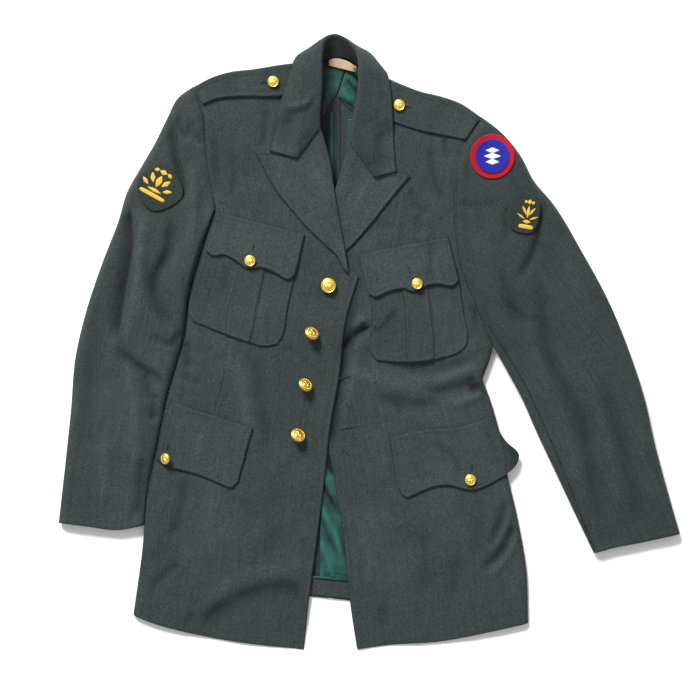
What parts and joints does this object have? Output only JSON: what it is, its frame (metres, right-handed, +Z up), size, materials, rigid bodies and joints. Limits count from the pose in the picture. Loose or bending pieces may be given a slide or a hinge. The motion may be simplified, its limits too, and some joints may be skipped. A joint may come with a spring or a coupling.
{
  "type": "military dress tunic",
  "caption": "Dark green serge dress tunic laid flat, with notched lapels, shoulder straps, pleated chest pockets, hip flaps and brass buttons.",
  "frame": {"origin": "middle of the bounding box's base, on the surface that the tunic lies on", "axes": "+Z up from the surface, +Y towards the collar, +X towards the wearer's left sleeve"},
  "size_m": [0.8702, 0.8612, 0.0409],
  "materials": {
    "serge": "matte twill",
    "satin": "satin",
    "brass": "polished",
    "label": "woven tape",
    "embroidery": "embroidered",
    "badge_cloth": "felt"
  },
  "bodies": {
    "root": {"back_left": "serge", "back_right": "serge", "button_chest_left": "brass", "button_chest_right": "brass", "button_front_1": "brass", "button_front_2": "brass", "button_front_3": "brass", "button_front_4": "brass", "button_hip_left": "brass", "button_hip_right": "brass", "button_strap_left": "brass", "button_strap_right": "brass", "collar_fall": "serge", "collar_stand": "serge", "facing_hem": "serge", "flap_chest_left": "serge", "flap_chest_right": "serge", "flap_hip_left": "serge", "flap_hip_right": "serge", "front_left": "serge", "front_right": "serge", "label": "label", "lapel_left": "serge", "lapel_right": "serge", "lining_skirt": "satin", "lining_yoke_left": "satin", "lining_yoke_right": "satin", "patch_rank_left": "badge_cloth", "patch_rank_right": "badge_cloth", "patch_shoulder_left": "embroidery", "pocket_chest_left": "serge", "pocket_chest_right": "serge", "seam_binding_left": "satin", "seam_binding_right": "satin", "shoulder_strap_left": "serge", "shoulder_strap_right": "serge", "sleeve_under_left": "serge", "sleeve_under_right": "serge", "sleeve_upper_left": "serge", "sleeve_upper_right": "serge"}
  },
  "joints": []
}
